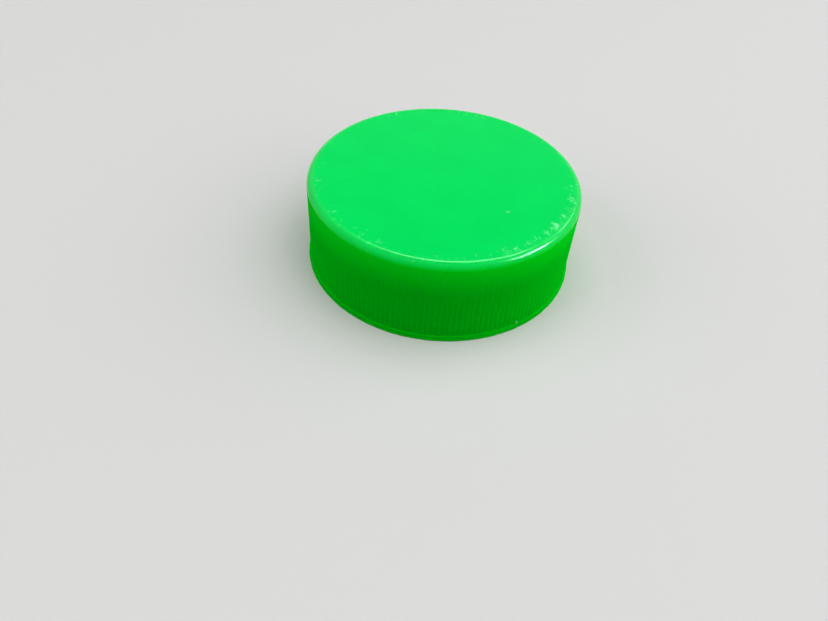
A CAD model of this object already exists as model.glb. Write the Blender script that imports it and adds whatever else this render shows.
"""A green screw cap on a pale studio floor.

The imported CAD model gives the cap's place and overall size. A finer mesh of the same moulding
stands for it here, with rounded ribs, softened edges, the thread, the plug ring and the wear.
"""
import math

import bpy
import numpy as np
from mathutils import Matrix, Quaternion, Vector


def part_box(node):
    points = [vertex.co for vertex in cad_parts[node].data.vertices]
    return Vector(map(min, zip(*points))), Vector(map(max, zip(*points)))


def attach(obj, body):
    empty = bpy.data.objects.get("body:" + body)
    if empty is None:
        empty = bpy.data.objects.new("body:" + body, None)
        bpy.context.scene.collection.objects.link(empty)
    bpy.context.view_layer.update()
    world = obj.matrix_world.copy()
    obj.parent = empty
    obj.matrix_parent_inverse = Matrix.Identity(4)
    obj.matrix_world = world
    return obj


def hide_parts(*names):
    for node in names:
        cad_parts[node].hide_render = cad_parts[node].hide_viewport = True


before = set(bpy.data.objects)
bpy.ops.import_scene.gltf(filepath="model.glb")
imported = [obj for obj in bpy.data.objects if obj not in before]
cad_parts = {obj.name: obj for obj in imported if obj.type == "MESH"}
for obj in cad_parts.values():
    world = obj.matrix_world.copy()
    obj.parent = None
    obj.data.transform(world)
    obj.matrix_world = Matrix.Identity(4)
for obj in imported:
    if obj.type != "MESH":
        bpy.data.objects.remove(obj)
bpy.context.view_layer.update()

MM = 0.001
SEED = 7

# All sizes of the cap are in millimetres. The overall ones come from the CAD box, whose sides touch
# the thin lip at the foot.
_, cap_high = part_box("cap")
CAP_H = cap_high.z / MM
OUT_R = cap_high.x / MM

# The lip, the bead above it, the skirt and the rounded edge round the top
LIP_H = 0.2
LIP_PROUD = 0.22
BEAD_H = 0.8
BEAD_PROUD = 0.16
BEAD_ROUND = 0.12
BEAD_R = OUT_R - LIP_PROUD
FOOT_R = BEAD_R - BEAD_PROUD
DRAFT = 0.08
EDGE_R = 1.1
EDGE_Z = CAP_H - EDGE_R
TOP_R = FOOT_R - DRAFT - EDGE_R
# How far the mould's unevenness lets the lip and the wall stray
LIP_STRAY = 0.03
WALL_STRAY = 0.02

# The knurl. Its ribs shrink upwards, fastest near the foot, and slope away at both ends. RIB_VARIES
# is how much they differ, as a share of their height.
RIBS = 168
RIB_FOOT_H = 0.09
RIB_TOP_H = 0.012
RIB_SHRINK = 2.2
RIB_END = 0.3
RIB_VARIES = 0.06
RIB_Z0 = BEAD_H + 0.1
RIB_Z1 = EDGE_Z + RIB_END / 2
# Places of a rib's columns as shares of the pitch from its middle, and its height there
RIB_SHARES = (-0.5, -0.33, -0.17, 0.0, 0.17, 0.33)
RIB_FORM = (0.0, 0.25, 0.75, 1.0, 0.75, 0.25)

# The inside: the panel, the thread's root and crest, the land at the mouth, the plug ring, and the
# small bead that seals on the neck's lip
PANEL_T = 1.4
ROOT_R = 19.0
CREST_R = 17.9
MOUTH_R = 19.35
MOUTH_H = 2.0
CEILING_Z = CAP_H - PANEL_T
CORNER_R = 0.8
PLUG_R = 16.6
PLUG_IN_R = 15.7
PLUG_WAIST_R = 16.35
PLUG_H = 3
PLUG_TIP_Z = CEILING_Z - PLUG_H
PLUG_LAND_Z = PLUG_TIP_Z + 0.8
PLUG_LAND_H = 1.1
LIP_BEAD_R = 16.95
LIP_BEAD_H = 0.28

# The thread. THREAD_FADE is the angle over which it rises out of the wall, and THREAD_SOFT the width
# over which its corners are rounded. Angles are in degrees, here and below.
THREAD_PITCH = 4.23
THREAD_TURNS = 1.45
THREAD_Z = 3.82
THREAD_FADE = 36
THREAD_FACE = 0.8
THREAD_SOFT = 0.22
LOAD_ANGLE = 15
LEAD_ANGLE = 40
WALL_Z0 = MOUTH_H + MOUTH_R - ROOT_R
WALL_Z1 = CEILING_Z - CORNER_R

# Points round each ring of the inside, and steps in the quarter circle of the edge round the top
INSIDE_COLUMNS = 300
EDGE_STEPS = 18

# Patches of small scuffs on the edge round the top: azimuth, distance outwards from the border of
# the flat top, how many, how widely they spread, and strength
PATCHES = (
    (-32.8, -0.45, 14, 0.36, 0.8),
    (-31.4, -0.95, 6, 0.3, 0.45),
    (-35.5, -0.75, 5, 0.3, 0.35),
    (-50, -0.8, 4, 0.22, 0.5),
    (-45.5, -0.8, 4, 0.3, 0.4),
    (-38.5, -0.6, 5, 0.4, 0.45),
    (-57, -0.6, 4, 0.3, 0.4),
    (-24.3, -0.5, 5, 0.18, 0.55),
    (-17, 0.1, 3, 0.2, 0.4),
    (-10, -0.55, 6, 0.22, 0.75),
    (-12.6, 0.1, 3, 0.1, 0.6),
    (0, -0.6, 3, 0.3, 0.3),
    (17, 0.4, 4, 0.3, 0.5),
    (-62, -0.5, 3, 0.3, 0.35),
    (-115, -0.6, 3, 0.4, 0.3),
    (-124.5, -0.8, 5, 0.5, 0.3),
    (-143.5, -0.6, 4, 0.4, 0.25),
    (73, -0.7, 4, 0.3, 0.4),
    (118, -0.5, 5, 0.3, 0.45),
    (196, -0.6, 4, 0.4, 0.4),
)
# Fainter ones: the stretches of azimuth that they lie in, and how many
FAINT_SCUFFS = ((-66, 0, 90), (-130, -66, 22), (0, 230, 70))
# Their depth, how widely their slants differ, and how far inwards on the flat top they can lie
SCUFF_DEPTH = 0.03
SCUFF_SLANT = 40
SCUFF_REACH = 2.3
# Nibs of flash on the bead's upper side: azimuth, and how far each stands up. NIB_SPREAD is the
# angle over which one falls away, and those taller than NIB_TORN are whitened.
NIBS = ((-53.3, 0.28), (-47, 0.05), (-41.5, 0.05), (-118, 0.06), (35, 0.12), (160, 0.1))
NIB_SPREAD = 0.42
NIB_TORN = 0.1
# A small pale fleck on the top: its place, how far it reaches, and its strength
FLECK = (9.1, -7.7, 13.6)
FLECK_R = 0.45
FLECK_STRENGTH = 0.4

# Colours of the plastic: the wall's lower and upper part, the flat top, and where it is worn.
# LIGHTER_Z is the height where the wall starts to lighten.
WALL_LOW = (0.0, 0.58, 0.006, 1)
WALL_HIGH = (0.0, 0.84, 0.01, 1)
TOP = (0.0, 0.73, 0.11, 1)
WORN = (0.3, 0.92, 0.5, 1)
LIGHTER_Z = 7.5
# Strength of the gloss on the flat top and on the edge, and its tints there and on the wall
TOP_GLOSS = 0.03
EDGE_GLOSS = 0.2
TOP_TINT = (0.0, 1.0, 0.8, 1)
EDGE_TINT = (0.36, 1.0, 0.62, 1)
WALL_TINT = (0.0, 1.0, 0.2, 1)

# Brightness where the camera looks, of the world and of the floor further out
PALE = 0.73
# Brightness of the world where it lights the cap
WORLD_LIGHT = 0.3
# Shade of the floor's surface where it throws light back on the cap, and where the camera sees it
FLOOR_BOUNCE = 0.14
FLOOR_SEEN = 0.68
# Distances in metres: where the camera's view of the floor starts to be an even glow, where it is
# nothing else, and how far the floor reaches
GLOW_START = 0.08
GLOW_FULL = 0.36
FLOOR_REACH = 30.0
# Lamps: name, azimuth, elevation, width and height in metres, power in watts, and whether the lamp
# lights surfaces ("light") or is only seen in their gloss ("shine")
LAMPS = (
    ("overhead", 88, 83, (0.6, 0.6), 1.9, "light"),
    ("side", -4, 37, (1.4, 0.9), 4.9, "light"),
    ("fill", -165, 30, (0.6, 0.5), 1.4, "light"),
    ("strip", 76, 65, (0.5, 0.1), 6.5, "shine"),
    ("corner", 46, 38, (0.14, 0.1), 0.7, "shine"),
    ("window", -8, 36, (0.34, 0.13), 15, "shine"),
)
LAMP_DISTANCE = 0.7

# The camera: elevation and roll in radians, distance and aim in outer radii of the cap, and lens
CAMERA_ELEVATION = 0.694
CAMERA_DISTANCE = 5.095
CAMERA_AIM = (-0.127, -0.7282, 0)
CAMERA_ROLL = 0.0659
CAMERA_LENS = 28.08


def smooth_step(x):
    """0 below 0, 1 above 1, and a smooth rise between them."""
    t = np.clip(x, 0, 1)
    return t * t * (3 - 2 * t)


def rounded(corners, steps):
    """The line through corners given as (radius, height, rounding), with arcs at the rounded ones."""
    line = []
    for i, (r, z, rounding) in enumerate(corners):
        here = np.array((r, z), float)
        if rounding == 0 or i in (0, len(corners) - 1):
            line.append(here)
            continue
        to_last = np.array(corners[i - 1][:2]) - here
        to_next = np.array(corners[i + 1][:2]) - here
        u, v = to_last / np.linalg.norm(to_last), to_next / np.linalg.norm(to_next)
        half = math.acos(np.clip(u @ v, -1, 1)) / 2
        reach = rounding / math.tan(half)
        centre = here + (u + v) / np.linalg.norm(u + v) * rounding / math.sin(half)
        a, b = here + u * reach - centre, here + v * reach - centre
        turn = math.atan2(a[0] * b[1] - a[1] * b[0], a @ b)
        for k in range(steps + 1):
            s, c = math.sin(turn * k / steps), math.cos(turn * k / steps)
            line.append(centre + np.array((a[0] * c - a[1] * s, a[0] * s + a[1] * c)))
    return line


def arc(centre_r, centre_z, radius, start, end, steps):
    """Points on an arc in the plane of (radius, height), between two angles in degrees."""
    angles = np.radians(np.linspace(start, end, steps + 1))
    centre = np.array((centre_r, centre_z))
    return [centre + radius * np.array((math.cos(a), math.sin(a))) for a in angles]


class Skin:
    """A skin of closed rings round the axis. Each ring is joined to the one before it."""

    def __init__(self):
        self.points = []
        self.faces = []
        self.last = None

    def add(self, angles, radii, heights):
        """Stores a ring and returns (index of its first point, its angles)."""
        start = len(self.points)
        radii = np.broadcast_to(radii, angles.shape)
        heights = np.broadcast_to(heights, angles.shape)
        self.points.extend(zip(radii * np.cos(angles), radii * np.sin(angles), heights))
        return start, angles

    def ring(self, angles, radii, heights):
        """Stores a ring and joins it to the last one."""
        new = self.add(angles, radii, heights)
        if self.last is not None:
            self.join(self.last, new)
        self.last = new

    def join(self, low, high):
        """Joins two rings, which may have different numbers of points."""
        (a0, a), (b0, b) = low, high
        n, m = len(a), len(b)
        if n == m:
            for i in range(n):
                j = (i + 1) % n
                self.faces.append((a0 + i, a0 + j, b0 + j, b0 + i))
            return
        i = j = 0
        while i < n or j < m:
            next_a = a[(i + 1) % n] + (math.tau if i + 1 >= n else 0)
            next_b = b[(j + 1) % m] + (math.tau if j + 1 >= m else 0)
            if j >= m or (i < n and next_a <= next_b):
                self.faces.append((a0 + i % n, a0 + (i + 1) % n, b0 + j % m))
                i += 1
            else:
                self.faces.append((a0 + i % n, b0 + (j + 1) % m, b0 + j % m))
                j += 1

    def close(self, height):
        """Closes the last ring with a fan to a point on the axis."""
        start, angles = self.last
        tip = len(self.points)
        self.points.append((0.0, 0.0, height))
        n = len(angles)
        self.faces.extend((start + i, start + (i + 1) % n, tip) for i in range(n))


def even_angles(count):
    """Angles of a number of points spread evenly round the axis."""
    return np.arange(count) * math.tau / count


def rib_angles():
    """Angles of the columns that carry the ribs, the same few to each rib."""
    middles = (np.arange(RIBS) + 0.5)[:, None]
    return ((middles + np.array(RIB_SHARES)) * math.tau / RIBS).ravel()


def wall_r(z):
    """Radius of the wall between the ribs at height z, and of the rounded edge above EDGE_Z."""
    if z <= EDGE_Z:
        return FOOT_R - DRAFT * z / EDGE_Z
    return TOP_R + math.sqrt(EDGE_R**2 - (z - EDGE_Z) ** 2)


def rib_height(z):
    """How far a rib stands out at height z, its sloping ends included."""
    along = (z - RIB_Z0) / (RIB_Z1 - RIB_Z0)
    full = RIB_TOP_H + (RIB_FOOT_H - RIB_TOP_H) * (1 - along) ** RIB_SHRINK
    ends = min((z - RIB_Z0) / RIB_END, (RIB_Z1 - z) / RIB_END, 1)
    return full * float(smooth_step(max(ends, 0)))


def ripple(angles, rng, cycles, size):
    """A smooth unevenness round the cap, made of waves with the given numbers of cycles."""
    waves = [size * np.cos(k * angles + rng.uniform(0, math.tau)) for k in cycles]
    return sum(waves) / len(cycles)


def nibs(angles):
    """How much the bead's upper side stands up at each angle."""
    degrees = np.degrees(angles)
    rise = np.zeros_like(angles)
    for azimuth, height in NIBS:
        away = (degrees - azimuth + 180) % 360 - 180
        rise += height * np.exp(-((away / NIB_SPREAD) ** 2))
    return rise


def foot_rings(skin, angles, rng):
    """The thin lip and the bead above it, a little uneven as they came out of the mould."""
    profile = rounded(
        [
            (OUT_R - 0.2, 0, 0),
            (OUT_R, 0, 0.04),
            (OUT_R, LIP_H, 0.05),
            (BEAD_R, LIP_H + 0.04, 0.03),
            (BEAD_R, BEAD_H, BEAD_ROUND),
            (wall_r(BEAD_H), BEAD_H + 0.01, 0.06),
            (wall_r(RIB_Z0), RIB_Z0, 0),
        ],
        steps=3,
    )
    flash = ripple(angles, rng, (17, 29, 43, 71), LIP_STRAY) - 0.02
    rise = nibs(angles)
    for r, z in profile[1:]:
        on_lip = r > BEAD_R + 0.02
        on_ledge = BEAD_H - 0.1 < z < BEAD_H + 0.2 and r > wall_r(z) + 0.03
        skin.ring(angles, r + flash * on_lip, z + rise * on_ledge)


def outside(skin, rng):
    """The foot, the knurled wall, the rounded edge and the top, from the foot up."""
    angles = rib_angles()
    form = np.tile(RIB_FORM, RIBS)
    # no two ribs of a worn mould are quite alike
    strength = np.repeat(1 + RIB_VARIES * rng.standard_normal(RIBS), len(RIB_SHARES))
    bulge = ripple(angles, rng, (2, 3, 5), WALL_STRAY)
    foot_rings(skin, angles, rng)

    rows = [RIB_Z0 + RIB_END * s for s in (0.3, 0.6, 1)]
    rows += list(np.linspace(RIB_Z0 + RIB_END, RIB_Z1 - RIB_END, 9)[1:])
    rows += [RIB_Z1 - RIB_END * s for s in (0.7, 0.4)]
    for z in rows:
        lean = bulge * math.sin(math.pi * z / EDGE_Z)
        skin.ring(angles, wall_r(z) + rib_height(z) * form * strength + lean, z)
    for tilt in np.radians(np.linspace(90, 0, EDGE_STEPS + 1))[1:]:
        z = EDGE_Z + EDGE_R * math.cos(tilt)
        if z > RIB_Z1 - 0.05:
            skin.ring(angles, TOP_R + EDGE_R * math.sin(tilt), z)
    # close rings by the flat top's border, which carry scuffs, and then ever fewer points inwards
    for inwards in (0.12, 0.24, 0.36, 0.48, 0.6, 0.73, 0.87, 1.02, 1.2, 1.45, 1.75, 2.1):
        skin.ring(angles, TOP_R - inwards, CAP_H)
    count = len(angles)
    for share in (0.85, 0.8, 0.72, 0.62, 0.5, 0.38, 0.26, 0.15, 0.07):
        count = max(count // 2, 42)
        skin.ring(even_angles(count), TOP_R * share, CAP_H)
    skin.close(CAP_H)


def thread_section():
    """The thread's rounded section: heights above its helix, and shares of its full depth there."""
    height = ROOT_R - CREST_R
    low = THREAD_FACE / 2 + height * math.tan(math.radians(LEAD_ANGLE))
    high = THREAD_FACE / 2 + height * math.tan(math.radians(LOAD_ANGLE))
    fine = np.linspace(-low - 0.4, high + 0.4, 400)
    sharp = np.interp(fine, (-low, -THREAD_FACE / 2, THREAD_FACE / 2, high), (0, 1, 1, 0))
    width = int(THREAD_SOFT / (fine[1] - fine[0])) | 1
    soft = np.convolve(np.pad(sharp, width // 2, mode="edge"), np.ones(width) / width, "valid")
    places = np.concatenate(
        [
            np.linspace(-low - 0.15, -low + 0.15, 4),
            np.linspace(-low + 0.4, -THREAD_FACE / 2 - 0.3, 2),
            np.linspace(-THREAD_FACE / 2 - 0.14, -THREAD_FACE / 2 + 0.14, 4),
            np.linspace(THREAD_FACE / 2 - 0.12, THREAD_FACE / 2 + 0.12, 4),
            np.linspace(high - 0.1, high + 0.14, 4),
        ]
    )
    return places, np.interp(places, fine, soft)


def thread_column(angle, section):
    """The wall's line at one angle, from WALL_Z0 up to WALL_Z1, as (height, radius) pairs."""
    places, shares = section
    sweep = 360 * THREAD_TURNS
    line, covered = [], []
    for turn in (0, 1):
        along = math.degrees(angle) + 360 * turn
        if along > sweep:
            continue
        grown = smooth_step(along / THREAD_FADE) * smooth_step((sweep - along) / THREAD_FADE)
        z = THREAD_Z + THREAD_PITCH * along / 360
        height = (ROOT_R - CREST_R) * grown
        line += [(z + p, ROOT_R - height * s) for p, s in zip(places, shares)]
        covered.append((z + places[0] - 0.2, z + places[-1] + 0.2))
    plain = np.linspace(WALL_Z0, WALL_Z1, 15)
    for z in plain:
        at_end = z in (plain[0], plain[-1])
        if at_end or not any(a < z < b for a, b in covered):
            line.append((z, ROOT_R))
    return sorted(line)


def threaded_wall(skin):
    """The wall inside, column by column, so that edges run along the thread. Returns the columns."""
    section = thread_section()
    columns = []
    for angle in even_angles(INSIDE_COLUMNS):
        line = thread_column(angle, section)
        start = len(skin.points)
        skin.points.extend((r * math.cos(angle), r * math.sin(angle), z) for z, r in line)
        columns.append((start, np.array([(r, z) for z, r in line])))
    for k, (a0, a) in enumerate(columns):
        b0, b = columns[(k + 1) % len(columns)]
        i = j = 0
        while i < len(a) - 1 or j < len(b) - 1:
            up_a = np.abs(a[i + 1] - b[j]).sum() if i < len(a) - 1 else math.inf
            up_b = np.abs(b[j + 1] - a[i]).sum() if j < len(b) - 1 else math.inf
            if up_a <= up_b:
                skin.faces.append((a0 + i, b0 + j, a0 + i + 1))
                i += 1
            else:
                skin.faces.append((a0 + i, b0 + j, b0 + j + 1))
                j += 1
    return columns


def inside(skin):
    """The mouth, the threaded wall, the ceiling and the plug ring, from the foot inwards."""
    angles = even_angles(INSIDE_COLUMNS)
    mouth = rounded(
        [
            (MOUTH_R + 0.6, 0, 0),
            (MOUTH_R + 0.2, 0, 0.05),
            (MOUTH_R, 0.2, 0.08),
            (MOUTH_R, MOUTH_H, 0.12),
            (ROOT_R, WALL_Z0, 0),
        ],
        steps=3,
    )
    for r, z in mouth[1:-1]:
        skin.ring(angles, r, z)
    columns = threaded_wall(skin)
    n = len(columns)
    low = [start for start, _ in columns]
    high = [start + len(line) - 1 for start, line in columns]
    mouth_top, _ = skin.last
    for i in range(n):
        j = (i + 1) % n
        skin.faces.append((mouth_top + i, mouth_top + j, low[j], low[i]))

    ceiling = arc(ROOT_R - CORNER_R, WALL_Z1, CORNER_R, 0, 90, 6)[1:]
    ceiling += arc(LIP_BEAD_R, CEILING_Z, LIP_BEAD_H, 360, 180, 8)
    ceiling += rounded(
        [
            (LIP_BEAD_R - LIP_BEAD_H, CEILING_Z, 0),
            (PLUG_WAIST_R + 0.25, CEILING_Z, 0.03),
            (PLUG_WAIST_R, CEILING_Z - 0.25, 0.2),
            (PLUG_WAIST_R, PLUG_LAND_Z + PLUG_LAND_H + 0.25, 0.3),
            (PLUG_R, PLUG_LAND_Z + PLUG_LAND_H, 0.25),
            (PLUG_R, PLUG_LAND_Z, 0.4),
            (PLUG_R - 0.4, PLUG_TIP_Z, 0.2),
            (PLUG_IN_R, PLUG_TIP_Z, 0.2),
            (PLUG_IN_R, CEILING_Z, 0.3),
            (0, CEILING_Z, 0),
        ],
        steps=4,
    )[1:-1]
    first = skin.add(angles, *ceiling[0])
    for i in range(n):
        j = (i + 1) % n
        skin.faces.append((high[i], high[j], first[0] + j, first[0] + i))
    skin.last = first
    for r, z in ceiling[1:]:
        skin.ring(angles, r, z)
    count = INSIDE_COLUMNS
    for share in (0.9, 0.75, 0.55, 0.35, 0.15):
        count = max(count // 2, 30)
        skin.ring(even_angles(count), PLUG_IN_R * share, CEILING_Z)
    skin.close(CEILING_Z)


def scuff_list(rng):
    """The scuffs: azimuth, distance outwards, length, width, slant and strength of each."""
    scuffs = []
    for azimuth, outwards, count, spread, strength in PATCHES:
        for _ in range(count):
            place = azimuth + math.degrees(rng.normal(0, spread) / TOP_R)
            out = outwards + rng.normal(0, spread * 0.7)
            length, width = rng.uniform(0.1, 0.32), rng.uniform(0.07, 0.13)
            slant = rng.normal(0, SCUFF_SLANT)
            scuffs.append((place, out, length, width, slant, strength * rng.uniform(0.5, 1)))
    for start, end, count in FAINT_SCUFFS:
        for _ in range(count):
            place, out = rng.uniform(start, end), rng.normal(-0.4, 0.4)
            length, width = rng.uniform(0.08, 0.3), rng.uniform(0.06, 0.12)
            slant = rng.normal(0, SCUFF_SLANT)
            scuffs.append((place, out, length, width, slant, rng.uniform(0.08, 0.3)))
    return scuffs


def wear_edge(points, rng):
    """Presses the scuffs into the edge round the top. Returns how worn each point is, 0 to 1."""
    radius = np.hypot(points[:, 0], points[:, 1])
    azimuth = np.arctan2(points[:, 1], points[:, 0])
    up = points[:, 2] - EDGE_Z
    on_edge = radius > TOP_R
    tilt = np.where(on_edge, np.arctan2(radius - TOP_R, up), 0)
    outwards = np.where(on_edge, EDGE_R * tilt, radius - TOP_R)
    worn, sunk = np.zeros(len(points)), np.zeros(len(points))
    for place, out, length, width, slant, strength in scuff_list(rng):
        round_way = (azimuth - math.radians(place) + math.pi) % math.tau - math.pi
        round_way, out_way = round_way * radius, outwards - out
        s, c = math.sin(math.radians(slant)), math.cos(math.radians(slant))
        along = (out_way * c + round_way * s) / length
        across = (round_way * c - out_way * s) / width
        reach = np.hypot(along, across)
        worn += strength * np.exp(-(reach**2))
        # a pit with a low ridge round it
        sunk += strength * (np.exp(-(reach**2)) - 0.4 * np.exp(-4 * (reach - 1.5) ** 2))
    near = (up > 0) & (radius > TOP_R - SCUFF_REACH)
    depth = np.where(near, SCUFF_DEPTH * np.clip(sunk, -0.5, 1), 0)
    points[:, 0] -= depth * np.sin(tilt) * np.cos(azimuth)
    points[:, 1] -= depth * np.sin(tilt) * np.sin(azimuth)
    points[:, 2] -= depth * np.cos(tilt)
    return np.where(near, np.clip(worn, 0, 1), 0)


def wear_nibs(points):
    """How worn each point of a torn nib of flash is: up to 1.5 on the tallest, and 0 elsewhere."""
    rise = nibs(np.arctan2(points[:, 1], points[:, 0]))
    on_ledge = np.abs(points[:, 2] - rise - BEAD_H) < 0.12
    return np.where(on_ledge, np.clip((rise - NIB_TORN) / 0.1, 0, 1.5), 0)


def new_mesh(name, points, faces):
    """A mesh object in the scene, from points in metres."""
    mesh = bpy.data.meshes.new(name)
    mesh.from_pydata(points, [], faces)
    mesh.update()
    obj = bpy.data.objects.new(name, mesh)
    bpy.context.scene.collection.objects.link(obj)
    return obj


def build_cap():
    """The whole moulding as one closed mesh object, with its wear as an attribute."""
    rng = np.random.default_rng(SEED)
    skin = Skin()
    outside(skin, rng)
    outer_points, outer_faces = len(skin.points), len(skin.faces)
    # the inside starts from the first ring, at the foot, so its faces are turned over
    skin.last = (0, rib_angles())
    inside(skin)
    faces = skin.faces[:outer_faces] + [face[::-1] for face in skin.faces[outer_faces:]]
    points = np.array(skin.points)
    outer = points[:outer_points]
    wear = np.zeros(len(points))
    wear[:outer_points] = wear_edge(outer, rng) + wear_nibs(outer)
    obj = new_mesh("cap_moulding", (points * MM).tolist(), faces)
    obj.data.shade_smooth()
    obj.data.attributes.new("wear", "FLOAT", "POINT").data.foreach_set("value", wear)
    return obj


class Nodes:
    """Short ways to add and link the nodes of one tree."""

    def __init__(self, tree):
        self.tree = tree

    def set(self, socket, value):
        """Links a socket to another one, or gives it a constant."""
        if isinstance(value, bpy.types.NodeSocket):
            self.tree.links.new(value, socket)
        else:
            socket.default_value = value

    def add(self, kind, values, **settings):
        """A new node with those inputs and settings."""
        node = self.tree.nodes.new(kind)
        for name, value in settings.items():
            setattr(node, name, value)
        for key, value in values.items():
            self.set(node.inputs[key], value)
        return node

    def math(self, operation, a, b=0.0, clamp=False):
        """The result of a sum on one or two numbers."""
        node = self.add("ShaderNodeMath", {0: a, 1: b}, operation=operation, use_clamp=clamp)
        return node.outputs[0]

    def vector(self, operation, a, b=(0, 0, 0)):
        """The number that comes from one or two vectors, such as a length."""
        node = self.add("ShaderNodeVectorMath", {0: a, 1: b}, operation=operation)
        return node.outputs["Value"]

    def range(self, value, low, high, to_low=0.0, to_high=1.0):
        """A smooth step from to_low to to_high as value goes from low to high."""
        ends = {"From Min": low, "From Max": high, "To Min": to_low, "To Max": to_high}
        node = self.add("ShaderNodeMapRange", ends, interpolation_type="SMOOTHSTEP")
        self.set(node.inputs["Value"], value)
        return node.outputs["Result"]

    def noise(self, place, scale, detail):
        """A noise pattern from about 0 to 1."""
        values = {"Vector": place, "Scale": scale, "Detail": detail}
        return self.add("ShaderNodeTexNoise", values).outputs["Fac"]

    def mix(self, share, a, b):
        """Colour a, going to b as share goes from 0 to 1."""
        values = {"Factor": share, "A": a, "B": b}
        node = self.tree.nodes.new("ShaderNodeMix")
        node.data_type = "RGBA"
        for socket in node.inputs:
            if socket.enabled and socket.name in values:
                self.set(socket, values[socket.name])
        return next(socket for socket in node.outputs if socket.enabled)


def scratches(nodes, place, turn, reach):
    """Fine straight scratches, as thin lines of a noise that is stretched along one direction."""
    mapping = nodes.add("ShaderNodeMapping", {"Vector": place})
    mapping.inputs["Rotation"].default_value = (0, 0, math.radians(turn))
    mapping.inputs["Scale"].default_value = (1 / reach, 12 / reach, 1 / reach)
    line = nodes.noise(mapping.outputs["Vector"], 1.0, 1.0)
    away = nodes.math("ABSOLUTE", nodes.math("SUBTRACT", line, 0.5))
    return nodes.range(away, 0.0, 0.006, 1.0, 0.0)


def colouring(nodes, place, height, upper, wear):
    """The colour: lighter towards the top, as the panel lets light through, and whitened by wear."""
    lower = nodes.range(height, LIGHTER_Z * MM, EDGE_Z * MM)
    colour = nodes.mix(upper, nodes.mix(lower, WALL_LOW, WALL_HIGH), TOP)
    # faintly darker patches, left by the flow of the plastic
    values = {"Color": colour, "Value": 0.97}
    darker = nodes.add("ShaderNodeHueSaturation", values).outputs["Color"]
    flow = nodes.noise(place, 140.0, 3.0)
    colour = nodes.mix(nodes.range(flow, 0.35, 0.65), darker, colour)
    from_fleck = nodes.vector("DISTANCE", place, [x * MM for x in FLECK])
    fleck = nodes.range(from_fleck, 0.1 * MM, FLECK_R * MM, FLECK_STRENGTH, 0.0)
    grit = nodes.range(nodes.noise(place, 5200.0, 3.0), 0.35, 0.6, 0.3, 1.0)
    whitened = nodes.math("MULTIPLY", nodes.math("ADD", wear, fleck), grit, clamp=True)
    return nodes.mix(whitened, colour, WORN)


def plastic():
    """Bright green polyethylene: a dull knurled wall, a glossy edge, and light that goes in a bit."""
    material = bpy.data.materials.new("green_polyethylene")
    material.use_nodes = True
    nodes = Nodes(material.node_tree)
    shader = material.node_tree.nodes["Principled BSDF"]
    place = nodes.add("ShaderNodeTexCoord", {}).outputs["Object"]
    axes = nodes.add("ShaderNodeSeparateXYZ", {"Vector": place}).outputs
    height = axes["Z"]
    flat = nodes.add("ShaderNodeCombineXYZ", {"X": axes["X"], "Y": axes["Y"]}).outputs["Vector"]
    radius = nodes.vector("LENGTH", flat)
    wear = nodes.add("ShaderNodeAttribute", {}, attribute_name="wear").outputs["Fac"]

    # Each of these goes from 0 to 1: up the whole rounded edge, past the end of the knurl, up to the
    # edge's shiny part, and outwards past the border of the flat top.
    upper = nodes.range(height, EDGE_Z * MM, (CAP_H - 0.2) * MM)
    above = nodes.range(height, (EDGE_Z - 0.2) * MM, (EDGE_Z + 0.4) * MM)
    shiny = nodes.range(height, (EDGE_Z + 0.05) * MM, (EDGE_Z + 0.55) * MM)
    rim = nodes.range(radius, (TOP_R - 0.1) * MM, (TOP_R + 0.1) * MM)
    nodes.set(shader.inputs["Base Color"], colouring(nodes, place, height, upper, wear))

    # fine scratches in two directions, on the top only
    one, other = scratches(nodes, place, 25, 0.004), scratches(nodes, place, -50, 0.006)
    fine = nodes.math("MULTIPLY", nodes.math("MAXIMUM", one, other), upper)
    rough = nodes.range(nodes.noise(place, 420.0, 3.0), 0.3, 0.7, 0.15, 0.21)
    rough = nodes.math("ADD", rough, nodes.range(above, 0, 1, 0.15, 0.0))
    rough = nodes.math("ADD", rough, nodes.math("MULTIPLY", fine, 0.12))
    rough = nodes.math("ADD", rough, nodes.math("MULTIPLY", wear, 0.3))
    nodes.set(shader.inputs["Roughness"], rough)

    # a slightly uneven surface, with the scratches cut into it
    peel = nodes.math("MULTIPLY", nodes.noise(place, 900.0, 2.0), 0.4)
    relief = nodes.math("SUBTRACT", peel, nodes.math("MULTIPLY", fine, 0.1))
    values = {"Height": relief, "Distance": 0.012 * MM, "Strength": 1.0}
    nodes.set(shader.inputs["Normal"], nodes.add("ShaderNodeBump", values).outputs["Normal"])

    # no gloss on the knurled wall, a little on the flat top, and the most on the edge
    gloss = nodes.range(shiny, 0, 1, 0.0, nodes.range(rim, 0, 1, TOP_GLOSS, EDGE_GLOSS))
    tint = nodes.mix(rim, TOP_TINT, EDGE_TINT)
    nodes.set(shader.inputs["Specular IOR Level"], gloss)
    nodes.set(shader.inputs["Specular Tint"], nodes.mix(upper, WALL_TINT, tint))
    # light spreads little in the white of a torn nib, where the wear is over 1
    nodes.set(shader.inputs["Subsurface Weight"], nodes.range(wear, 1.0, 1.3, 1.0, 0.1))
    shader.inputs["Subsurface Radius"].default_value = (0.25, 1.0, 0.25)
    shader.inputs["Subsurface Scale"].default_value = 1.0 * MM
    return material


def watched(nodes):
    """1 for what the camera sees, directly or in a glossy or clear body, else 0."""
    path = nodes.add("ShaderNodeLightPath", {}).outputs
    mirrored = nodes.math("MAXIMUM", path["Is Glossy Ray"], path["Is Transmission Ray"])
    return nodes.math("MAXIMUM", path["Is Camera Ray"], mirrored)


def between(nodes, share, low, high):
    """A number that goes from low to high as share goes from 0 to 1."""
    return nodes.math("ADD", nodes.math("MULTIPLY", share, high - low), low)


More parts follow.
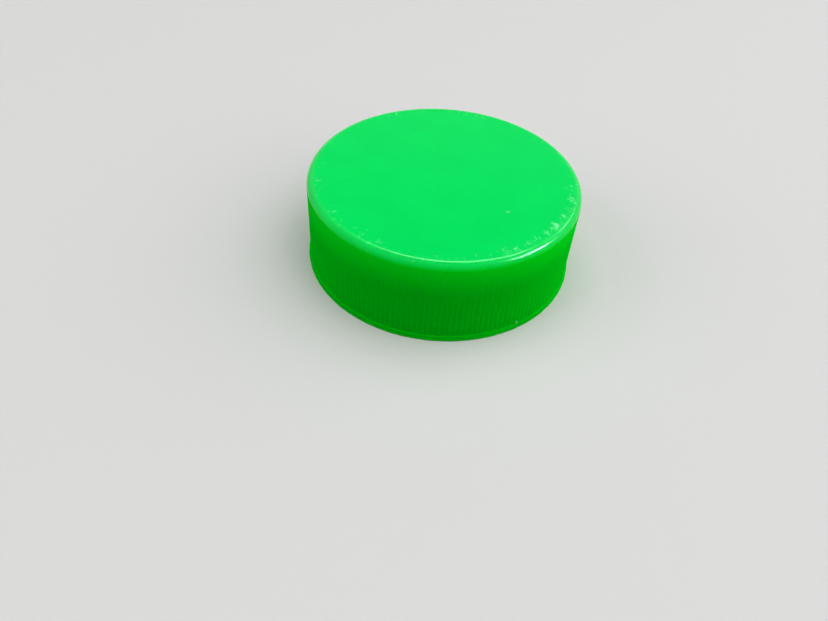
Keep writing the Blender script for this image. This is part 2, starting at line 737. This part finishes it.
def pale_floor():
    """A plain pale floor, which takes the shadow near the cap and is evenly pale further out."""
    reach = FLOOR_REACH
    corners = [(-reach, -reach, 0), (reach, -reach, 0), (reach, reach, 0), (-reach, reach, 0)]
    floor = new_mesh("floor", corners, [(0, 1, 2, 3)])
    material = bpy.data.materials.new("pale_floor")
    material.use_nodes = True
    nodes = Nodes(material.node_tree)
    shader = material.node_tree.nodes["Principled BSDF"]
    shader.inputs["Roughness"].default_value = 0.9
    shader.inputs["Specular IOR Level"].default_value = 0.0
    eye = watched(nodes)
    place = nodes.add("ShaderNodeTexCoord", {}).outputs["Object"]
    away = nodes.vector("LENGTH", place)
    far = nodes.math("MULTIPLY", eye, nodes.range(away, GLOW_START, GLOW_FULL))
    near = nodes.math("SUBTRACT", 1.0, far)
    surface = between(nodes, eye, FLOOR_BOUNCE, FLOOR_SEEN)
    shade = nodes.math("MULTIPLY", surface, near)
    nodes.set(shader.inputs["Base Color"], nodes.mix(shade, (0, 0, 0, 1), (1, 1, 0.99, 1)))
    shader.inputs["Emission Color"].default_value = (PALE, PALE, PALE, 1)
    nodes.set(shader.inputs["Emission Strength"], far)
    floor.data.materials.append(material)


def soft_box(name, azimuth, elevation, size, power, role):
    """A rectangular lamp turned towards the cap, which either lights it or shines in its gloss."""
    a, e = math.radians(azimuth), math.radians(elevation)
    way = Vector((math.cos(e) * math.cos(a), math.cos(e) * math.sin(a), math.sin(e)))
    data = bpy.data.lights.new(name, "AREA")
    data.shape = "RECTANGLE"
    data.size, data.size_y = size
    data.energy = power
    obj = bpy.data.objects.new(name, data)
    obj.location = way * LAMP_DISTANCE
    obj.rotation_mode = "QUATERNION"
    obj.rotation_quaternion = (-way).to_track_quat("-Z", "Y")
    obj.visible_diffuse = role == "light"
    obj.visible_glossy = role == "shine"
    bpy.context.scene.collection.objects.link(obj)


def pale_world():
    """A dim even light from all round, which is pale where the camera sees it."""
    world = bpy.data.worlds.new("pale_world")
    world.use_nodes = True
    nodes = Nodes(world.node_tree)
    background = world.node_tree.nodes["Background"]
    background.inputs["Color"].default_value = (1, 1, 1, 1)
    nodes.set(background.inputs["Strength"], between(nodes, watched(nodes), WORLD_LIGHT, PALE))
    bpy.context.scene.world = world


def camera():
    """The camera stands in front of the cap, above it, and is turned a little."""
    reach = OUT_R * MM
    distance = CAMERA_DISTANCE * reach
    back, up = math.cos(CAMERA_ELEVATION), math.sin(CAMERA_ELEVATION)
    place = Vector((0, -distance * back, distance * up))
    data = bpy.data.cameras.new("camera")
    data.sensor_width = 36
    data.lens = CAMERA_LENS
    data.clip_start = 0.001
    obj = bpy.data.objects.new("camera", data)
    obj.location = place
    obj.rotation_mode = "QUATERNION"
    roll = Quaternion((0, 0, 1), CAMERA_ROLL)
    way = Vector(CAMERA_AIM) * reach - place
    obj.rotation_quaternion = way.to_track_quat("-Z", "Y") @ roll
    bpy.context.scene.collection.objects.link(obj)
    bpy.context.scene.camera = obj


bpy.context.scene.view_settings.view_transform = "Standard"
cap = build_cap()
cap.data.materials.append(plastic())
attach(cap, "root")
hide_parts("cap")
pale_floor()
pale_world()
for lamp in LAMPS:
    soft_box(*lamp)
camera()
